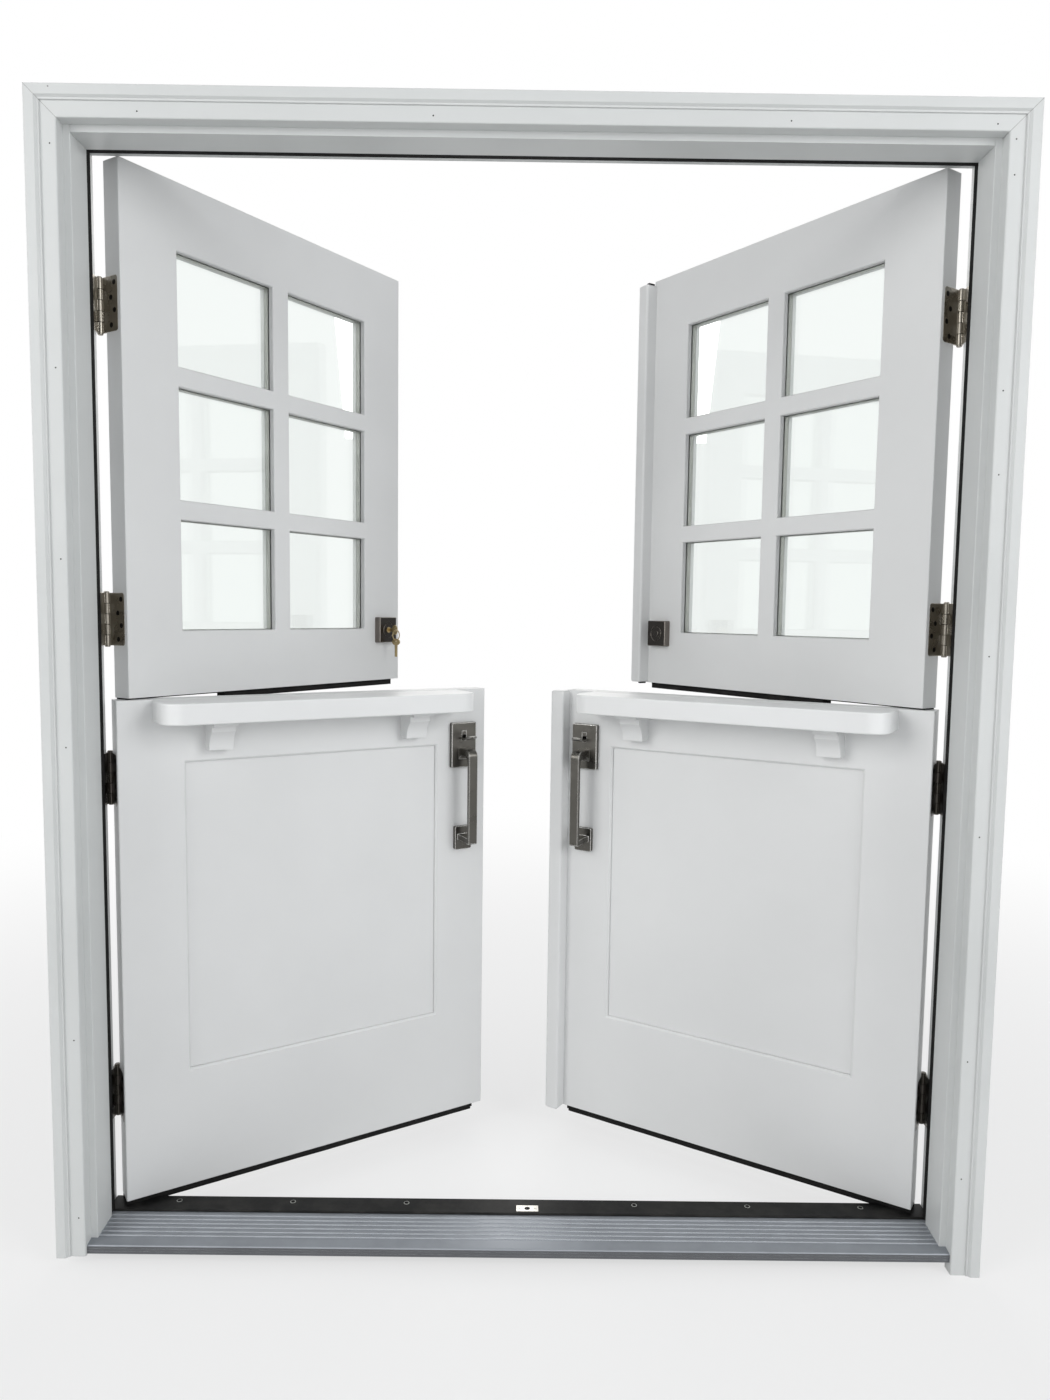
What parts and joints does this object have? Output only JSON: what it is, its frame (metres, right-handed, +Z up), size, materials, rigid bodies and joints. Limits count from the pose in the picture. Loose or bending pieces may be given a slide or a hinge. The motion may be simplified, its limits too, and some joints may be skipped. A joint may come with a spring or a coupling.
{
  "type": "dutch stable door",
  "caption": "Pair of glazed Dutch doors in a cased frame, each side split into an upper and a lower leaf with a shelf, shown open inwards.",
  "frame": {"origin": "middle of the sill's underside, in the plane of the jambs' outer edges", "axes": "+X to the right seen from outside, +Y into the house, +Z up"},
  "size_m": [1.7386, 0.8475, 2.1248],
  "materials": {
    "frame_paint": "semi-gloss white paint",
    "leaf_paint": "semi-gloss white paint",
    "sill_metal": "mill finish, ribbed",
    "black_cap": "matt black",
    "strike_metal": "satin",
    "black_rubber": "matt black",
    "hinge_metal": "satin nickel plate",
    "clear_glass": "clear",
    "spacer_grey": "matt grey",
    "dark_nickel": "dark satin nickel",
    "key_brass": "worn nickel-brass",
    "bright_steel": "satin"
  },
  "bodies": {
    "frame": {"left_jamb": "frame_paint", "right_jamb": "frame_paint", "head_jamb": "frame_paint", "left_casing": "frame_paint", "right_casing": "frame_paint", "head_casing": "frame_paint", "sill": "sill_metal", "sill_cap": "black_cap", "cap_strike": "strike_metal", "weatherstrip": "black_rubber", "jamb_hinge_leaves": "hinge_metal", "hinge_pins": "hinge_metal"},
    "upper_left_leaf": {"upper_left_sash": "leaf_paint", "upper_left_glass": "clear_glass", "upper_left_spacers": "spacer_grey", "upper_left_seal": "black_rubber", "upper_left_hinge_leaves": "hinge_metal", "upper_left_rose": "dark_nickel", "upper_left_turn_plate": "dark_nickel", "upper_left_interlock_plate": "dark_nickel"},
    "upper_right_leaf": {"upper_right_sash": "leaf_paint", "upper_right_glass": "clear_glass", "upper_right_spacers": "spacer_grey", "upper_right_seal": "black_rubber", "upper_right_hinge_leaves": "hinge_metal", "upper_right_rose": "dark_nickel", "upper_right_astragal": "leaf_paint", "upper_right_deadbolt_strike": "bright_steel"},
    "lower_left_leaf": {"lower_left_frame": "leaf_paint", "lower_left_panel": "leaf_paint", "lower_left_shelf": "leaf_paint", "lower_left_brackets": "leaf_paint", "lower_left_hinge_leaves": "hinge_metal", "lower_left_sweep": "black_rubber", "lower_left_escutcheon": "dark_nickel", "lower_left_grip": "dark_nickel", "lower_left_inside_rose": "dark_nickel", "lower_left_interlock_keeper": "dark_nickel"},
    "lower_right_leaf": {"lower_right_frame": "leaf_paint", "lower_right_panel": "leaf_paint", "lower_right_shelf": "leaf_paint", "lower_right_brackets": "leaf_paint", "lower_right_hinge_leaves": "hinge_metal", "lower_right_sweep": "black_rubber", "lower_right_astragal": "leaf_paint", "lower_right_escutcheon": "dark_nickel", "lower_right_grip": "dark_nickel", "lower_right_thumb": "dark_nickel", "lower_right_latch_strike": "bright_steel"},
    "thumb_turn": {"upper_left_turn": "dark_nickel"},
    "key_cylinder": {"upper_left_key_cylinder": "key_brass"},
    "key_ring": {"upper_left_key_ring": "key_brass"},
    "deadbolt": {"upper_left_deadbolt": "bright_steel"},
    "interlock_bolt": {"upper_left_interlock_bolt": "dark_nickel"},
    "head_bolt": {"upper_right_head_bolt": "bright_steel"},
    "meeting_bolt": {"upper_right_meeting_bolt": "bright_steel"},
    "thumb_piece": {"lower_left_thumb": "dark_nickel"},
    "latch": {"lower_left_latch": "bright_steel"},
    "inside_lever": {"lower_left_inside_lever": "dark_nickel"},
    "foot_bolt": {"lower_right_foot_bolt": "bright_steel"}
  },
  "joints": [
    {"name": "upper_left_swing", "type": "hinge", "parent": "frame", "child": "upper_left_leaf", "pos_m": [-0.8152, 0.13625, 1.49], "axis": [0, 0, 1], "range_deg": [-57.8, 52.2]},
    {"name": "upper_right_swing", "type": "hinge", "parent": "frame", "child": "upper_right_leaf", "pos_m": [0.8152, 0.13625, 1.49], "axis": [0, 0, -1], "range_deg": [-55.9, 54.1]},
    {"name": "lower_left_swing", "type": "hinge", "parent": "frame", "child": "lower_left_leaf", "pos_m": [-0.8152, 0.13625, 0.565], "axis": [0, 0, 1], "range_deg": [-32.2, 77.8]},
    {"name": "lower_right_swing", "type": "hinge", "parent": "frame", "child": "lower_right_leaf", "pos_m": [0.8152, 0.13625, 0.565], "axis": [0, 0, -1], "range_deg": [-31.8, 78.2]},
    {"name": "thumb_turn_rotation", "type": "hinge", "parent": "upper_left_leaf", "child": "thumb_turn", "pos_m": [-0.40037, 0.76571, 1.1695], "axis": [0.8462, -0.5329, 0], "range_deg": [0, 90]},
    {"name": "key_rotation", "type": "hinge", "parent": "upper_left_leaf", "child": "key_cylinder", "pos_m": [-0.36276, 0.74203, 1.1695], "axis": [0.8462, -0.5329, 0], "range_deg": [0, 90]},
    {"name": "key_ring_swing", "type": "hinge", "parent": "key_cylinder", "child": "key_ring", "pos_m": [-0.32722, 0.71965, 1.1695], "axis": [-0.5329, -0.8462, 0], "range_deg": [-18, 70]},
    {"name": "deadbolt_throw", "type": "slide", "parent": "upper_left_leaf", "child": "deadbolt", "axis": [0.5329, 0.8462, 0], "range_m": [0, 0.0254]},
    {"name": "interlock_bolt_drop", "type": "slide", "parent": "upper_left_leaf", "child": "interlock_bolt", "axis": [0, 0, -1], "range_m": [0, 0.018]},
    {"name": "head_bolt_lift", "type": "slide", "parent": "upper_right_leaf", "child": "head_bolt", "axis": [0, 0, 1], "range_m": [0, 0.016]},
    {"name": "meeting_bolt_drop", "type": "slide", "parent": "upper_right_leaf", "child": "meeting_bolt", "axis": [0, 0, -1], "range_m": [0, 0.016]},
    {"name": "foot_bolt_drop", "type": "slide", "parent": "lower_right_leaf", "child": "foot_bolt", "axis": [0, 0, -1], "range_m": [0, 0.024]},
    {"name": "inside_lever_press", "type": "hinge", "parent": "lower_left_leaf", "child": "inside_lever", "pos_m": [-0.16911, 0.52468, 0.922], "axis": [0.5329, -0.8462, 0], "range_deg": [0, 40], "stiffness_Nm_per_rad": 0.8, "springref_deg": -28.65},
    {"name": "thumb_press", "type": "hinge", "parent": "lower_left_leaf", "child": "thumb_piece", "pos_m": [-0.14276, 0.48283, 0.932], "axis": [0.8462, 0.5329, 0], "range_deg": [0, 12]},
    {"name": "latch_retract", "type": "slide", "parent": "lower_left_leaf", "child": "latch", "axis": [-0.8462, -0.5329, 0], "range_m": [0, 0.012]}
  ],
  "couplings": [
    {"joint": "thumb_turn_rotation", "follows": "deadbolt_throw", "rad_per_m": 61.842},
    {"joint": "key_rotation", "follows": "deadbolt_throw", "rad_per_m": 61.842},
    {"joint": "thumb_press", "follows": "inside_lever_press", "ratio": 0.3},
    {"joint": "latch_retract", "follows": "inside_lever_press", "m_per_rad": 0.017189}
  ]
}
